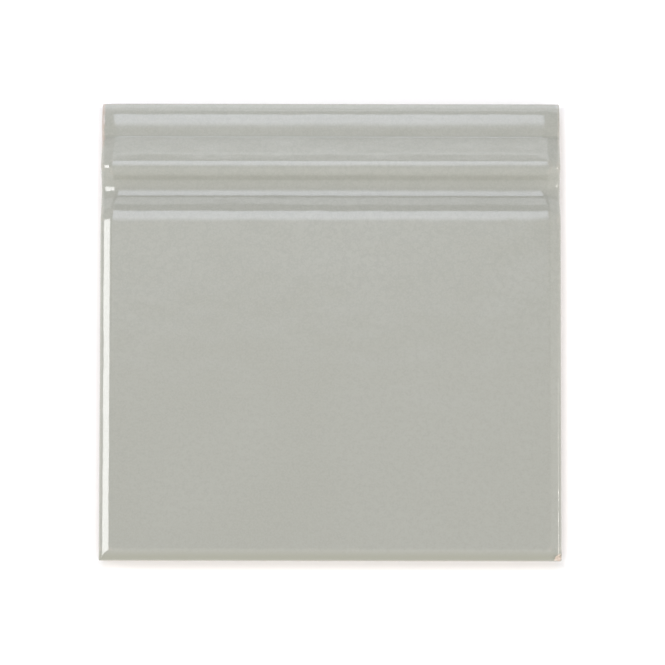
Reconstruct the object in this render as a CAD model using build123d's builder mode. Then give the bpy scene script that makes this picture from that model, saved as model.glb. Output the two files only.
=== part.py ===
from build123d import *
import os

# A pressed ceramic skirting tile, glazed and fired as one solid piece.  It lies
# on its back: width along X, height along Y with the moulded edge at +Y, face
# up along Z.  The origin is the middle of the back.

# Outer sizes of the tile.
tile_width = 152.4
tile_height = 152.4
face_height = 20.0

# The moulding, as the corners of its section before they are rounded.  The
# "drop" is how far a corner lies below the tile's top edge, the "height" is how
# far it stands above the back.
rim_height = 9.1
nose_drop = 4.0
nose_height = 13.1
step_drop = 11.6
step_height = 12.8
bead_drop = 22.6
bead_height = 20.2
trough_drop = 28.9
trough_height = 14.0
face_drop = 38.4

# Roundings of those corners, from the top edge down.
nose_radius = 11.0
step_radius = 0.6
bead_radius = 4.2
trough_radius = 4.7
shoulder_radius = 9.1

# The eased edge that follows the moulding down both ends and along the foot.
bevel_width = 3.7
bevel_depth = 1.7
bevel_round = 2.2
rim_round = 1.4

# Shallow keys pressed in the back for the adhesive.
key_count = 6
key_width = 9.0
key_depth = 0.9
key_margin = 14.0
key_corner = 2.0
key_draft = 30.0

os.makedirs("parts", exist_ok=True)

top = tile_height / 2
foot = -tile_height / 2


# The two ends and the foot are bevelled; the top edge is not.
bevelled_walls = ((Axis.X, 0), (Axis.X, -1), (Axis.Y, 0))


def face_side(wall):
    """The edges of a side wall that lie along the moulded face."""
    on_face = [e for e in wall.edges() if (e @ 0.5).Z > key_depth and abs((e % 0.5).Z) < 0.99]
    return ShapeList(on_face)


with BuildPart() as skirting_tile:
    # The section of the tile, seen from its end.
    with BuildSketch(Plane.YZ) as section:
        with BuildLine():
            moulding = FilletPolyline(
                (top, rim_height),
                (top - nose_drop, nose_height),
                (top - step_drop, step_height),
                (top - bead_drop, bead_height),
                (top - trough_drop, trough_height),
                (top - face_drop, face_height),
                (foot, face_height),
                radius=(nose_radius, step_radius, bead_radius, trough_radius, shoulder_radius),
            )
            Polyline(moulding @ 1, (foot, 0), (top, 0), moulding @ 0)
        make_face()
    extrude(amount=tile_width / 2, both=True)

    # Bevel both ends and the foot along the face, then soften the outer edge of
    # each bevel, which also rounds the upright corners at the foot.
    for across, which in bevelled_walls:
        wall = skirting_tile.faces().filter_by(across).sort_by(across)[which]
        chamfer(face_side(wall), bevel_depth, bevel_width, reference=wall)
    for across, which in bevelled_walls:
        wall = skirting_tile.faces().filter_by(across).sort_by(across)[which]
        fillet(face_side(wall), bevel_round)

    # Round the rim, where the moulding meets the tile's thin top edge.
    wall = skirting_tile.faces().filter_by(Axis.Y).sort_by(Axis.Y)[-1]
    fillet(face_side(wall), rim_round)

    # Key grooves across the back, stopping short of its edges.
    key_pitch = (tile_height - 2 * key_margin - key_width) / (key_count - 1)
    with BuildSketch(Plane.XY):
        with GridLocations(0, key_pitch, 1, key_count):
            RectangleRounded(tile_width - 2 * key_margin, key_width, key_corner)
    extrude(amount=key_depth, taper=key_draft, mode=Mode.SUBTRACT)

skirting_tile.part.label = "skirting_tile"
export_step(skirting_tile.part, "parts/skirting_tile.step")
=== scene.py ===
import bpy
import bmesh
import math
import numpy as np
from mathutils import Matrix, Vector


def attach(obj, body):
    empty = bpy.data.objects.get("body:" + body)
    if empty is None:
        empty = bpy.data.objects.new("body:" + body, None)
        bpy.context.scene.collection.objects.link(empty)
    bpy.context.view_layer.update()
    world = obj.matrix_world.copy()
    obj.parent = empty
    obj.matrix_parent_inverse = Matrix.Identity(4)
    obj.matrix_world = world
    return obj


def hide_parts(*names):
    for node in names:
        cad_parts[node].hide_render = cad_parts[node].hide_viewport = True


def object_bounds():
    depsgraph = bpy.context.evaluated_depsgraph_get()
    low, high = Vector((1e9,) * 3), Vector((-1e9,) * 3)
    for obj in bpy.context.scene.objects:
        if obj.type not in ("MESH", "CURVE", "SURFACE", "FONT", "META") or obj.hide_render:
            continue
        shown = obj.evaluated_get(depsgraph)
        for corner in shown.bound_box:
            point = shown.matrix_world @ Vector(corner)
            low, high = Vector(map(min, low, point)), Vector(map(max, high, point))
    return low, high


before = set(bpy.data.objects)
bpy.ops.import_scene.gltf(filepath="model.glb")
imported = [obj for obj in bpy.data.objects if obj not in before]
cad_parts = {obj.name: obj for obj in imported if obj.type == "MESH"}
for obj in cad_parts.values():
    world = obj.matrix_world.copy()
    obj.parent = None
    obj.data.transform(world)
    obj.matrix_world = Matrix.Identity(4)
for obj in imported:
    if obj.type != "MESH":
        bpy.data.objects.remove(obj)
cad_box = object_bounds()


# The tile's face.  One piece of pressed clay with a nose, a bead and a hollow
# moulded along its top edge.  The same section runs from end to end, set in
# square to itself where the ends are eased.  Sizes are in millimetres.

MM = 0.001
WIDTH, HEIGHT, FACE = (round((high - low) / MM, 3) for low, high in zip(*cad_box))
TOP = HEIGHT / 2
FOOT = -HEIGHT / 2
END = WIDTH / 2
MOULDED = 42.0
PLAIN = TOP - MOULDED

# Corners of the moulding before rounding: drop below the top edge, height over
# the back, radius (less than nothing where it is hollow) and samples round it.
# Both slopes swell by a quarter of a millimetre where they near their crests.
RIM_WALL = 1.6
CORNERS = (
    (0.0, 9.1, 1.4, 10),
    (4.0, 13.1, 11.0, 26),
    (11.6, 12.8, -0.6, 8),
    (17.6, 17.12, 20.0, 8),
    (22.6, 20.2, 4.2, 24),
    (28.9, 14.0, -4.7, 20),
    (35.0, 18.1, 24.0, 8),
    (38.4, 20.0, 9.1, 18),
)
STRAIGHTS = (2, 3, 6, 20, 3, 6, 10, 3, 4)

# The eased ends, from the top edge down: the drop where each reading is taken,
# the bevel's width and depth, and the roundings of its inner and outer edges.
# The nose only droops to a tight arris, and glaze has filled the hollow's.
EASED = (
    (8.0, 4.2, 0.5, 25.0, 0.5),
    (14.5, 4.2, 1.3, 14.0, 1.6),
    (22.6, 3.2, 1.5, 2.6, 2.2),
    (29.4, 5.2, 2.4, 5.0, 2.2),
    (36.0, 3.9, 1.75, 3.0, 2.2),
    (40.0, 3.7, 1.7, 2.4, 2.2),
)
EASED_ROUNDS = (10, 12)
EASED_STRAIGHTS = (5, 6, 2)
REACH = 8.6
PLAIN_ROWS = 92
COLUMNS = 128
LEVELS = 45
MITRE = 8


def rounded(points, corners, straights):
    """An open line with its inner corners rounded, and how sharply it bends at each sample."""
    points = [np.array(p, float) for p in points]
    line, bend = [], []
    start = points[0]
    for k, (radius, samples) in enumerate(corners):
        before, corner, after = points[k : k + 3]
        a = (before - corner) / np.linalg.norm(before - corner)
        b = (after - corner) / np.linalg.norm(after - corner)
        half = math.acos(float(np.clip(a @ b, -1, 1))) / 2
        enter = corner + a * abs(radius) / math.tan(half)
        leave = corner + b * abs(radius) / math.tan(half)
        centre = corner + (a + b) / np.linalg.norm(a + b) * abs(radius) / math.sin(half)
        sweep = math.pi - 2 * half
        for t in np.linspace(0, 1, straights[k], endpoint=False):
            line.append(start + (enter - start) * t)
            bend.append(0.0)
        for t in np.linspace(0, 1, samples, endpoint=False):
            first, second = math.sin((1 - t) * sweep), math.sin(t * sweep)
            from_centre = (enter - centre) * first + (leave - centre) * second
            line.append(centre + from_centre / math.sin(sweep))
            bend.append(1 / radius)
        start = leave
    for t in np.linspace(0, 1, straights[-1]):
        line.append(start + (points[-1] - start) * t)
        bend.append(0.0)
    return np.array(line), np.array(bend)


def section(sunk):
    """The moulding from the top wall down to the plain face, set in by so much."""
    corners = [np.array((TOP - drop, height)) for drop, height, _, _ in CORNERS]
    corners.append(np.array((PLAIN, FACE)))
    sides = []
    for p, q in zip(corners, corners[1:]):
        along = (q - p) / np.linalg.norm(q - p)
        inward = np.array((-along[1], along[0]))
        sides.append((p + inward * sunk, along))
    met = []
    for (p, u), (q, w) in zip(sides, sides[1:]):
        met.append(p + u * np.linalg.solve(np.array((u, -w)).T, q - p)[0])
    p, u = sides[0]
    rim = p + u * ((TOP - p[0]) / u[0])
    path = [rim - (0, RIM_WALL), rim, *met, np.array((PLAIN, FACE - sunk))]
    rounds = [(radius - sunk, samples) for _, _, radius, samples in CORNERS]
    rounds[0] = CORNERS[0][2:]
    return rounded(path, rounds, STRAIGHTS)


def eased(width, depth, inner, outer):
    """An eased end: distance in from the end and how far it is sunk there, and its bend."""
    path = ((REACH, 0), (width, 0), (0, depth), (0, depth + outer))
    return rounded(path, tuple(zip((inner, outer), EASED_ROUNDS)), EASED_STRAIGHTS)


moulding, moulding_bend = section(0.0)
plain_y = np.linspace(PLAIN, FOOT + REACH, PLAIN_ROWS)[1:]
plain = np.column_stack([plain_y, np.full_like(plain_y, FACE)])
row_drop = TOP - np.concatenate([moulding[:, 0], plain_y])
row_bend = np.concatenate([moulding_bend, 0 * plain_y])

# Every reading of the eased end has the same number of samples, so the rows
# between two readings take a blend of them.
readings = [eased(*sizes) for _, *sizes in EASED]
drops = [drop for drop, *_ in EASED]


def blended(profiles):
    """Each sample of the readings' profiles, as it is at every row."""
    return np.column_stack([np.interp(row_drop, drops, sample) for sample in zip(*profiles)])


end_in = blended([line[:, 0] for line, _ in readings])
end_sunk = blended([line[:, 1] for line, _ in readings])
end_bend = blended([bend for _, bend in readings])
between = np.linspace(REACH - END, END - REACH, COLUMNS)[1:-1]
flat = np.zeros((len(row_drop), len(between)))
column_x = np.hstack([(end_in - END)[:, ::-1], flat + between, END - end_in])
column_sunk = np.hstack([end_sunk[:, ::-1], flat, end_sunk])
column_bend = np.hstack([end_bend[:, ::-1], flat, end_bend])

# Each row is sunk along its own path, from the section as it is to the section
# set in as deep as the ends go.
levels = np.linspace(0, end_sunk.max() + 0.01, LEVELS)
paths = np.array([np.vstack([section(level)[0], plain - (0, level)]) for level in levels])
row_y, row_z = (
    np.array([np.interp(sunk, levels, paths[:, i, axis]) for i, sunk in enumerate(column_sunk)])
    for axis in (0, 1)
)
sheet = np.stack([column_x, row_y, row_z], axis=-1)

# The foot has the plain face's bevel, and meets the ends in a mitre.
foot, foot_bend = readings[-1]
mitre = (column_sunk[-1] ** MITRE + foot[1:, 1:] ** MITRE) ** (1 / MITRE)
foot_x = np.broadcast_to(column_x[-1], mitre.shape)
foot_y = np.broadcast_to(FOOT + foot[1:, :1], mitre.shape)
sheet = np.concatenate([sheet, np.stack([foot_x, foot_y, FACE - mitre], axis=-1)])
bends = np.concatenate([row_bend[:, None] + column_bend, foot_bend[1:, None] + column_bend[-1]])
rows, cols = sheet.shape[:2]


def waves(points, count, short, long, seed):
    """A smooth random swell over points, about -1 to 1, with wavelengths in millimetres."""
    draw = np.random.default_rng(seed)
    total = np.zeros(points.shape[:-1])
    for _ in range(count):
        way = draw.normal(size=3)
        way /= np.linalg.norm(way)
        length = short * (long / short) ** draw.random()
        total += np.sin(points @ way * (2 * math.pi / length) + draw.random() * 2 * math.pi)
    return total / math.sqrt(count / 2)


def normals_of(g):
    """Unit normals of a grid of points, pointing out of the face."""
    n = np.cross(np.gradient(g, axis=1), -np.gradient(g, axis=0))
    return n / np.maximum(np.linalg.norm(n, axis=-1, keepdims=True), 1e-9)


# The face swells a little, as pressed and glazed clay does: height of each
# swell, how many waves make it, shortest and longest wave, and seed.  It is all
# inward, and dies away over the last millimetre before the edges.
SWELLS = ((0.018, 60, 7, 26, 3), (0.012, 40, 30, 90, 4), (0.004, 60, 2.5, 6, 5))
relief = sum(height * waves(sheet, *sizes) for height, *sizes in SWELLS)
relief -= relief.max()
edge_hold = np.clip(np.minimum(END - np.abs(sheet[..., 0]), sheet[..., 1] - FOOT), 0, 1)
edge_hold = np.minimum(edge_hold, np.clip(TOP - sheet[..., 1], 0, 1))
sheet += normals_of(sheet) * (relief * edge_hold)[..., None]


# The walls and back.  The walls go straight down from the face's edge to a
# slightly eased arris, and the back has six shallow pressed keys for adhesive.

WALL_STEPS = 12
ARRIS = 0.5
ARRIS_RINGS = ((0.12, 0.2), (0.42, 0.0))
BACK_INSET = ARRIS_RINGS[-1][0]
BACK_ROWS = 90
BACK_COLUMNS = 80
BACK_DROP = 30.0
KEYS = 6
KEY_WIDTH = 9.0
KEY_DEPTH = 0.9
KEY_MARGIN = 14.0
KEY_CORNER = 2.0
KEY_DRAFT = 30.0


def ring_of(r, c):
    """Grid places round the edge, one side after another, each from corner to corner."""
    return (
        [(0, j) for j in range(c)],
        [(i, c - 1) for i in range(r)],
        [(r - 1, j) for j in range(c)][::-1],
        [(i, 0) for i in range(r)][::-1],
    )


verts, faces, below, curve = [], [], [], []


def add_grid(g, drop, bend):
    """Adds a grid of points and its faces, and returns the index of each point."""
    first = len(verts)
    verts.extend(g.reshape(-1, 3))
    below.extend(drop.reshape(-1))
    curve.extend(bend.reshape(-1))
    index = first + np.arange(g.shape[0] * g.shape[1]).reshape(g.shape[:2])
    for i in range(g.shape[0] - 1):
        for j in range(g.shape[1] - 1):
            faces.append((index[i, j], index[i, j + 1], index[i + 1, j + 1], index[i + 1, j]))
    return index


face_index = add_grid(sheet, np.zeros((rows, cols)), bends)
edge = [face_index[p] for side in ring_of(rows, cols) for p in side[:-1]]
top_ring = np.array([verts[k] for k in edge])


def add_ring(last, ring, bend):
    """Adds a ring of wall points and its faces below the last ring, and returns the new one."""
    first = len(verts)
    verts.extend(ring)
    below.extend(top_ring[:, 2] - ring[:, 2])
    curve.extend(np.full(len(ring), bend))
    now = list(range(first, first + len(ring)))
    for k in range(len(ring)):
        m = (k + 1) % len(ring)
        faces.append((last[k], last[m], now[m], now[k]))
    return now


last = list(edge)
for step in range(1, WALL_STEPS + 1):
    t = step / WALL_STEPS
    ring = top_ring.copy()
    ring[:, 2] = top_ring[:, 2] * (1 - t) + ARRIS * t
    last = add_ring(last, ring, 0.0)
for inset, height in ARRIS_RINGS:
    ring = top_ring.copy()
    ring[:, 0] -= np.sign(ring[:, 0]) * inset * (np.abs(ring[:, 0]) > END - 0.01)
    ring[:, 1] -= np.sign(ring[:, 1]) * inset * (np.abs(ring[:, 1]) > TOP - 0.01)
    ring[:, 2] = height
    last = add_ring(last, ring, 1.0)

# The back's grid has extra lines at the lips and floors of the keys' slopes.
pitch = (HEIGHT - 2 * KEY_MARGIN - KEY_WIDTH) / (KEYS - 1)
key_y = [FOOT + KEY_MARGIN + KEY_WIDTH / 2 + k * pitch for k in range(KEYS)]
run = KEY_DEPTH * math.tan(math.radians(KEY_DRAFT))
slope = (-0.35, 0, run * 0.5, run, run + 0.35)
round_ends = (1.1, 1.6, 2.2)
lips_y = [y + s * (KEY_WIDTH / 2 - e) for y in key_y for s in (-1, 1) for e in slope]
lips_x = [s * (END - KEY_MARGIN - e) for s in (-1, 1) for e in slope + round_ends]
back_y = np.linspace(FOOT + BACK_INSET, TOP - BACK_INSET, BACK_ROWS)
back_x = np.linspace(BACK_INSET - END, END - BACK_INSET, BACK_COLUMNS)
back_y = np.unique(np.round(np.concatenate([back_y, lips_y]), 3))
back_x = np.unique(np.round(np.concatenate([back_x, lips_x]), 3))
bx, by = np.meshgrid(back_x, back_y[::-1])
sunken = np.zeros_like(bx)
for y in key_y:
    qx = np.abs(bx) - (END - KEY_MARGIN - KEY_CORNER)
    qy = np.abs(by - y) - (KEY_WIDTH / 2 - KEY_CORNER)
    away = np.hypot(np.maximum(qx, 0), np.maximum(qy, 0)) + np.minimum(np.maximum(qx, qy), 0)
    sunken = np.maximum(sunken, KEY_DEPTH * np.clip((KEY_CORNER - away) / run, 0, 1))
back_index = add_grid(np.stack([bx, by, sunken], axis=-1), np.full(bx.shape, BACK_DROP), 0 * bx)

# The last ring of the walls is joined to the back's edge, side by side.
lower = []
place = 0
for side in ring_of(rows, cols):
    lower.append([last[(place + k) % len(last)] for k in range(len(side))])
    place += len(side) - 1
for wall, rim in zip(lower, ring_of(len(back_y), len(back_x))):
    rim = [int(back_index[p]) for p in rim]
    axis = 0 if abs(verts[wall[0]][0] - verts[wall[-1]][0]) > 1 else 1
    i = j = 0
    while i < len(wall) - 1 or j < len(rim) - 1:
        step_wall = j == len(rim) - 1
        if not step_wall and i < len(wall) - 1:
            done = abs(verts[wall[i + 1]][axis] - verts[wall[0]][axis])
            step_wall = done <= abs(verts[rim[j + 1]][axis] - verts[rim[0]][axis])
        if step_wall:
            faces.append((wall[i], wall[i + 1], rim[j]))
            i += 1
        else:
            faces.append((wall[i], rim[j + 1], rim[j]))
            j += 1

points = np.array(verts, float)


# Wear and making marks in the shape itself: upright corners eased in plan,
# rough pressed walls, a chip out of the lower right corner and a nick out of
# the upper left one.

TOP_CORNER = 0.5
FOOT_CORNER = 0.35
ROUGH_WALL = 0.05
CHIPS = (((76.4, -76.4, 18.9), 2.9, 0.75), ((-75.9, 76.3, 9.4), 1.1, 0.3))


def ease_corner(sx, sy, radius):
    """Rounds one upright corner in plan."""
    u = (points[:, 0] * sx - (END - radius)) / radius
    v = (points[:, 1] * sy - (TOP - radius)) / radius
    near = (u > 0) & (v > 0)
    a, b = u[near], v[near]
    points[near, 0] = sx * (END - radius + radius * a * np.sqrt(1 - b * b / 2))
    points[near, 1] = sy * (TOP - radius + radius * b * np.sqrt(1 - a * a / 2))


for sx in (-1, 1):
    ease_corner(sx, 1, TOP_CORNER)
    ease_corner(sx, -1, FOOT_CORNER)

clay_walls = np.clip((np.array(below) - 1.5) / 3.0, 0, 1) * (np.abs(points[:, 2]) > 0.3)
inward = np.zeros_like(points)
inward[:, 0] = -np.sign(points[:, 0]) * (np.abs(points[:, 0]) > END - 0.02)
inward[:, 1] = -np.sign(points[:, 1]) * (np.abs(points[:, 1]) > TOP - 0.02)
rough_wall = np.clip(ROUGH_WALL + ROUGH_WALL * waves(points, 60, 2.0, 14, 11), 0, 1)
points += inward * (clay_walls * rough_wall)[:, None]

for (cx, cy, cz), size, depth in CHIPS:
    from_chip = points - np.array((cx, cy, cz))
    edge_of_chip = size * (1 + 0.16 * waves(points, 30, 1.0, 4.0, 21))
    bite = np.clip(1 - (np.linalg.norm(from_chip, axis=1) / edge_of_chip) ** 2, 0, 1) ** 0.6
    towards = -np.array((np.sign(cx), np.sign(cy), 1.4))
    broken = bite * depth * (1 + 0.25 * waves(points, 40, 0.5, 1.6, 22))
    points += (towards / np.linalg.norm(towards)) * broken[:, None]

mesh = bpy.data.meshes.new("tile")
mesh.from_pydata((points * MM).tolist(), [], [tuple(int(k) for k in f) for f in faces])
for name, values in (("below", below), ("curve", curve)):
    layer = mesh.attributes.new(name, "FLOAT", "POINT")
    layer.data.foreach_set("value", np.array(values, dtype=np.float32))
work = bmesh.new()
work.from_mesh(mesh)
bmesh.ops.recalc_face_normals(work, faces=work.faces)
open_edges = sum(1 for e in work.edges if len(e.link_faces) != 2)
print("tile: open edges", open_edges, "triangles", sum(len(f.verts) - 2 for f in work.faces))
work.to_mesh(mesh)
work.free()
mesh.shade_smooth()
tile = bpy.data.objects.new("tile", mesh)
bpy.context.scene.collection.objects.link(tile)
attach(tile, "root")
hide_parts("skirting_tile")


# Glaze over fired clay.  The glaze is a smooth opaque grey with a green cast,
# darker where it pools in the hollows and thin and warm over the sharp arrises.
# Below it, the walls and back are bare buff clay.

GLAZE = (0.326, 0.325, 0.284, 1)
GLAZE_CLOUD = (0.339, 0.339, 0.300, 1)
GLAZE_SPECK = (0.314, 0.314, 0.276, 1)
GLAZE_PALE_SPECK = (0.346, 0.344, 0.306, 1)
GLAZE_POOLED = (0.27, 0.272, 0.236, 1)
GLAZE_THIN = (0.42, 0.385, 0.335, 1)
# Darker craze lines, used only on the upper half as painted reflection of the sheen's ripple.
GLAZE_CRAZE_AND_SHEEN = (0.306, 0.310, 0.272, 1)
# Browner for the glaze's thin edge at the foot, and darker as painted shade on the foot bevel.
GLAZE_FOOT_TINT_AND_SHADE = (0.296, 0.294, 0.243, 1)
GLAZE_WORN = (0.44, 0.365, 0.315, 1)
CLAY = (0.54, 0.44, 0.365, 1)
CLAY_GRIT = (0.66, 0.565, 0.48, 1)


class Value:
    """A shader socket that can be used in sums."""

    def __init__(self, tree, socket):
        self.tree = tree
        self.socket = socket

    def math(self, operation, *others):
        made = self.tree.nodes.new("ShaderNodeMath")
        made.operation = operation
        for place, item in enumerate((self,) + others):
            feed(self.tree, made.inputs[place], item)
        return Value(self.tree, made.outputs[0])

    def __add__(self, other):
        return self.math("ADD", other)

    __radd__ = __add__

    def __mul__(self, other):
        return self.math("MULTIPLY", other)

    __rmul__ = __mul__

    def __sub__(self, other):
        return self.math("SUBTRACT", other)

    def __rsub__(self, other):
        return self.math("MULTIPLY", -1.0) + other

    def __abs__(self):
        return self.math("ABSOLUTE")

    def ramp(self, low, high):
        """0 up to low, 1 from high on and smooth between them, whichever of the two is larger."""
        made = self.tree.nodes.new("ShaderNodeMapRange")
        made.interpolation_type = "SMOOTHSTEP"
        feed(self.tree, made.inputs["Value"], self)
        made.inputs["From Min"].default_value = low
        made.inputs["From Max"].default_value = high
        return Value(self.tree, made.outputs[0])


def feed(tree, target, item):
    """Links a Value to a socket, or sets the socket to a constant."""
    if isinstance(item, Value):
        tree.links.new(item.socket, target)
    else:
        target.default_value = item


def node(tree, kind, settings=None, inputs=None, output=0):
    """Makes a node, sets it up and returns one of its outputs."""
    made = tree.nodes.new(kind)
    for name, item in (settings or {}).items():
        setattr(made, name, item)
    for name, item in (inputs or {}).items():
        feed(tree, made.inputs[name], item)
    return Value(tree, made.outputs[output])


def mix(tree, factor, a, b):
    """Blends two colours."""
    made = tree.nodes.new("ShaderNodeMix")
    made.data_type = "RGBA"
    feed(tree, made.inputs[0], factor)
    feed(tree, made.inputs[6], a)
    feed(tree, made.inputs[7], b)
    return Value(tree, made.outputs[2])


def part_of(tree, where, axis):
    """One of the three parts of a place or direction: 0, 1 or 2 for X, Y or Z."""
    return node(tree, "ShaderNodeSeparateXYZ", None, {0: where}, axis)


def noise(tree, where, scale, detail=2.0, rough=0.5):
    """Cloudy noise with so many cells to a unit of where."""
    inputs = {"Vector": where, "Scale": scale, "Detail": detail, "Roughness": rough}
    return node(tree, "ShaderNodeTexNoise", None, inputs)


material = bpy.data.materials.new("glaze")
material.use_nodes = True
tree = material.node_tree
tree.nodes.clear()
place = node(tree, "ShaderNodeTexCoord", None, None, 3)
mm = node(tree, "ShaderNodeVectorMath", {"operation": "SCALE"}, {0: place, "Scale": 1 / MM})
east = part_of(tree, mm, 0)
north = part_of(tree, mm, 1)
drop = node(tree, "ShaderNodeAttribute", {"attribute_name": "below"}, None, 2)
bend = node(tree, "ShaderNodeAttribute", {"attribute_name": "curve"}, None, 2)

# Where bare clay shows: down the walls under the glaze's ragged edge, and in
# the chips.
ragged = noise(tree, mm, 0.22, 3.0) * 5.0 + noise(tree, mm, 1.3, 3.0) * 1.2
bare = (drop - ragged).ramp(0.4, 1.1)
for centre, size, _ in CHIPS:
    away = node(tree, "ShaderNodeVectorMath", {"operation": "DISTANCE"}, {0: mm, 1: centre}, 1)
    chipped = (away + noise(tree, mm, 0.9, 3.0) * 1.6).ramp(size + 0.75, size + 0.45)
    bare = bare.math("MAXIMUM", chipped)

# The glaze is clouded and specked, pooled in the hollows, thin on the arrises
# and worn at the left end of the nose.  Fine craze lines are painted darker on
# the upper half only: the lines are real, but keeping them to the upper half is
# painted reflection of the ripple that the softbox's sheen shows there.  Along
# the foot bevel the glaze is painted browner, its own thin edge, and darker,
# which is painted shade on the bevel.
cloud = noise(tree, mm, 0.03, 3.0).ramp(0.35, 0.65)
speck = noise(tree, mm, 0.55, 4.0, 0.6)
pale_speck = noise(tree, mm, 1.5, 3.0, 0.6).ramp(0.4, 0.62)
pooled = bend.ramp(-0.1, -0.6)
thin = (bend + noise(tree, mm, 0.35, 3.0) * 0.9).ramp(0.85, 1.35)
# Painted reflection in part: the darker fine lines are kept to the upper half, where the sheen
# shows the ripple.
craze_and_sheen = abs(noise(tree, mm, 0.24, 4.0, 0.6) - 0.5).ramp(0.05, 0.0) * north.ramp(-20.0, 20.0)
# Painted shade in part: the foot bevel is made darker, and browner where the glaze thins at its
# edge.
foot_tint_and_shade = (north * -1.0).ramp(72.2, 75.2)
worn = (noise(tree, mm, 0.6, 3.0) * 1.2 - east).ramp(75.5, 76.3) * north.ramp(59.5, 64.5)
worn = worn * (1.0 - drop.ramp(0.3, 1.6))
glaze_colour = mix(tree, cloud, GLAZE, GLAZE_CLOUD)
glaze_colour = mix(tree, speck.ramp(0.35, 0.65) * 0.8, glaze_colour, GLAZE_SPECK)
glaze_colour = mix(tree, pale_speck * 0.6, glaze_colour, GLAZE_PALE_SPECK)
glaze_colour = mix(tree, pooled * 0.35, glaze_colour, GLAZE_POOLED)
glaze_colour = mix(tree, thin * 0.4, glaze_colour, GLAZE_THIN)
glaze_colour = mix(tree, craze_and_sheen * 0.6, glaze_colour, GLAZE_CRAZE_AND_SHEEN)
glaze_colour = mix(tree, foot_tint_and_shade, glaze_colour, GLAZE_FOOT_TINT_AND_SHADE)
glaze_colour = mix(tree, worn * 0.75, glaze_colour, GLAZE_WORN)
grit = noise(tree, mm, 2.2, 5.0, 0.7)
clay_colour = mix(tree, grit.ramp(0.3, 0.7), CLAY, CLAY_GRIT)
colour = mix(tree, bare, glaze_colour, clay_colour)

# Faint ripple of the glaze, a finer ripple and orange peel over it, and the
# clay's grain, which lies lower by the thickness of the glaze.
ripple = noise(tree, mm, 0.12, 2.0, 0.45)
fine_ripple = noise(tree, mm, 0.4, 2.0, 0.5)
peel = noise(tree, mm, 0.9, 2.0, 0.4)
glaze_height = ripple * 0.055 + fine_ripple * 0.022 + peel * 0.005
clay_height = grit * 0.12 + noise(tree, mm, 6.0, 4.0, 0.6) * 0.03
height = glaze_height + (clay_height - 0.12) * bare
bump = node(tree, "ShaderNodeBump", None, {"Height": height * MM, "Distance": 1.0, "Strength": 1.0})
shader = tree.nodes.new("ShaderNodeBsdfPrincipled")
feed(tree, shader.inputs["Base Color"], colour)
feed(tree, shader.inputs["Roughness"], 0.1 + speck * 0.03 + bare * 0.75)
feed(tree, shader.inputs["Normal"], bump)
shader.inputs["IOR"].default_value = 1.5
out = tree.nodes.new("ShaderNodeOutputMaterial")
tree.links.new(shader.outputs[0], out.inputs[0])
mesh.materials.append(material)


# The studio.  A matt white table, which glows softly except close round the
# tile, so that it stays white and still keeps the tile's shadow, in a surround
# that is brighter towards the tile's foot and ends.

TABLE = (0.76, 0.76, 0.76, 1)
TABLE_DARK = (0.01, 0.01, 0.01, 1)
TABLE_GLOW = (0.35, 0.35, 0.35, 1)
WHITE = (1, 1, 1, 1)

# The glow starts a little way from the tile, and at once beyond its top edge.
GLOW_FROM = (END + 0.6) * MM
GLOW_FULL = (END + 5.0) * MM
TOP_GLOW_FROM = (TOP - 0.7) * MM
TOP_GLOW = 0.6

# How bright the surround is overall, and what each side adds.
ALL_ROUND = 0.535
FROM_FOOT = 0.74
FROM_RIGHT = 0.6
FROM_LEFT = 0.3

plate = bpy.data.meshes.new("floor")
plate.from_pydata([(-3, -3, 0), (3, -3, 0), (3, 3, 0), (-3, 3, 0)], [], [(0, 1, 2, 3)])
floor = bpy.data.objects.new("floor", plate)
bpy.context.scene.collection.objects.link(floor)
table = bpy.data.materials.new("table")
table.use_nodes = True
paper = table.node_tree
top = paper.nodes["Principled BSDF"]
top.inputs["Base Color"].default_value = TABLE
top.inputs["Roughness"].default_value = 0.9
top.inputs["Specular IOR Level"].default_value = 0.0
on_table = node(paper, "ShaderNodeTexCoord", None, None, 3)
across, up = part_of(paper, on_table, 0), part_of(paper, on_table, 1)
clear = abs(across).math("MAXIMUM", abs(up)).ramp(GLOW_FROM, GLOW_FULL)
clear = clear.math("MAXIMUM", up.ramp(TOP_GLOW_FROM, GLOW_FROM) * TOP_GLOW)
feed(paper, top.inputs["Emission Color"], mix(paper, clear, TABLE_DARK, TABLE_GLOW))
top.inputs["Emission Strength"].default_value = 1.0
plate.materials.append(table)

world = bpy.data.worlds.new("surround")
bpy.context.scene.world = world
world.use_nodes = True
sky = world.node_tree
sky.nodes.clear()
seen = node(sky, "ShaderNodeLightPath", None, None, 0)
way = node(sky, "ShaderNodeTexCoord", None, None, 0)
to_right, to_top = part_of(sky, way, 0), part_of(sky, way, 1)
strength = ALL_ROUND + to_top.ramp(0.3, -0.7) * FROM_FOOT
strength = strength + to_right.ramp(0.5, 0.8) * FROM_RIGHT
strength = strength + to_right.ramp(-0.5, -0.8) * FROM_LEFT
surround = node(sky, "ShaderNodeBackground", None, {"Color": WHITE, "Strength": strength})
white = node(sky, "ShaderNodeBackground", None, {"Color": WHITE, "Strength": 1.0})
both = node(sky, "ShaderNodeMixShader", None, {0: seen, 1: surround, 2: white})
sky.links.new(both.socket, sky.nodes.new("ShaderNodeOutputWorld").inputs["Surface"])


# The lights.  A cool softbox hangs beyond the top edge, brightest at its far
# end and dying away overhead, with a glow behind it down to the table.  One
# long low light is at the left, and small warm ones are at the right.

DISTANCE = 1.6
COOL = (0.86, 0.90, 1.05)
FAR = (0.93, 0.95, 1.0)
NEUTRAL = (1.0, 1.0, 1.0)
WARM = (1.0, 0.96, 0.9)

# From and to, in degrees from overhead, width in metres, and radiance.
BEYOND_TOP = (
    (4, 8, 0.44, 0.7),
    (8, 16, 0.44, 1.2),
    (16, 24, 0.46, 3.0),
    (24, 33, 0.5, 4.2),
    (33, 56, 0.54, 4.1),
)
FAR_GLOW = ((71, 77, 0.9, 2.1), (77, 82, 0.9, 0.7), (82, 90, 0.9, 2.4))


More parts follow.
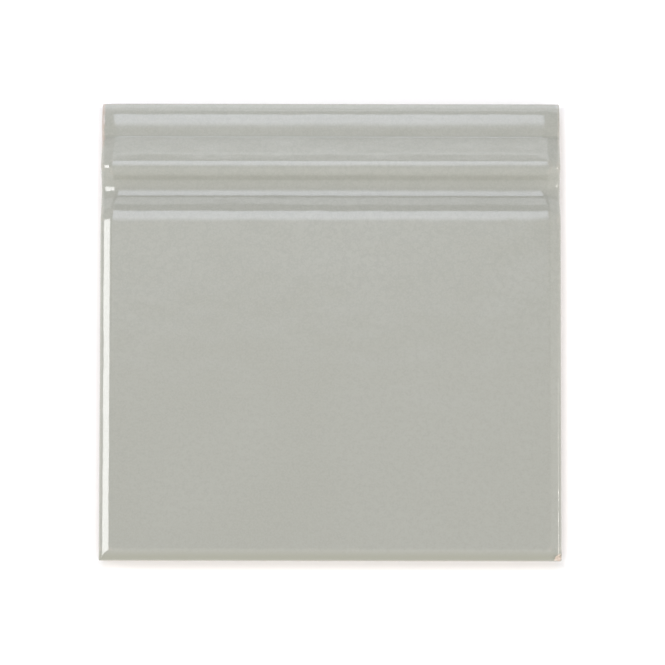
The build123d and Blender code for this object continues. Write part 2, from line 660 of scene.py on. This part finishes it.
def lamp(name, low, high, wide, radiance, colour, turn=0, aside=0.0, distance=DISTANCE):
    """A rectangular softbox facing the tile's middle, between two tilts from overhead."""
    tilt = math.radians((low + high) / 2)
    tall = 2 * distance * math.tan(math.radians(high - low) / 2)
    light = bpy.data.lights.new(name, "AREA")
    light.shape = "RECTANGLE"
    light.size = wide
    light.size_y = tall
    light.energy = radiance * math.pi * wide * tall
    light.color = colour
    box = bpy.data.objects.new(name, light)
    towards = Matrix.Rotation(math.radians(turn), 4, "Z") @ Matrix.Rotation(-tilt, 4, "X")
    box.matrix_world = towards @ Matrix.Translation((aside, 0, distance))
    box.visible_camera = False
    bpy.context.scene.collection.objects.link(box)
    return box


for low, high, wide, radiance in BEYOND_TOP:
    lamp(f"beyond_top_{low}", low, high, wide, radiance, COOL, aside=-0.06)
for low, high, wide, radiance in FAR_GLOW:
    lamp(f"far_glow_{low}", low, high, wide, radiance, FAR)
lamp("left", 50, 58, 1.1, 10.5, NEUTRAL, turn=90)
lamp("right", 61, 68, 0.09, 15.0, WARM, turn=-93)
lamp("right_spark", 65, 79, 0.38, 8.0, WARM, turn=-108)
lamp("right_edge", 61, 68, 0.09, 5.0, WARM, turn=-89.4)

# The last light lies flat on the table beyond the top edge and faces up.
table_light = lamp("table_glow", 0, 12, 0.24, 3.4, COOL, distance=0.8)
table_light.matrix_world = Matrix.Translation((0, 0.22, 0.001)) @ Matrix.Rotation(math.pi, 4, "X")


# The camera.  A metre and a quarter up, over the tile's foot, it looks almost
# straight down and is turned by a hair, as in the photograph.

PICTURE = 665
FOCAL_PIXELS = 3739.8
SENSOR = 36.0

camera = bpy.data.objects.new("camera", bpy.data.cameras.new("camera"))
camera.data.sensor_width = SENSOR
camera.data.lens = FOCAL_PIXELS / PICTURE * SENSOR
camera.data.clip_start = 0.01
camera.location = (0.00292, -0.082, 1.25)
camera.rotation_mode = "ZYX"
camera.rotation_euler = (math.radians(3.7654), math.radians(0.1042), math.radians(0.0802))
bpy.context.scene.collection.objects.link(camera)
bpy.context.scene.camera = camera
bpy.context.scene.view_settings.view_transform = "Standard"
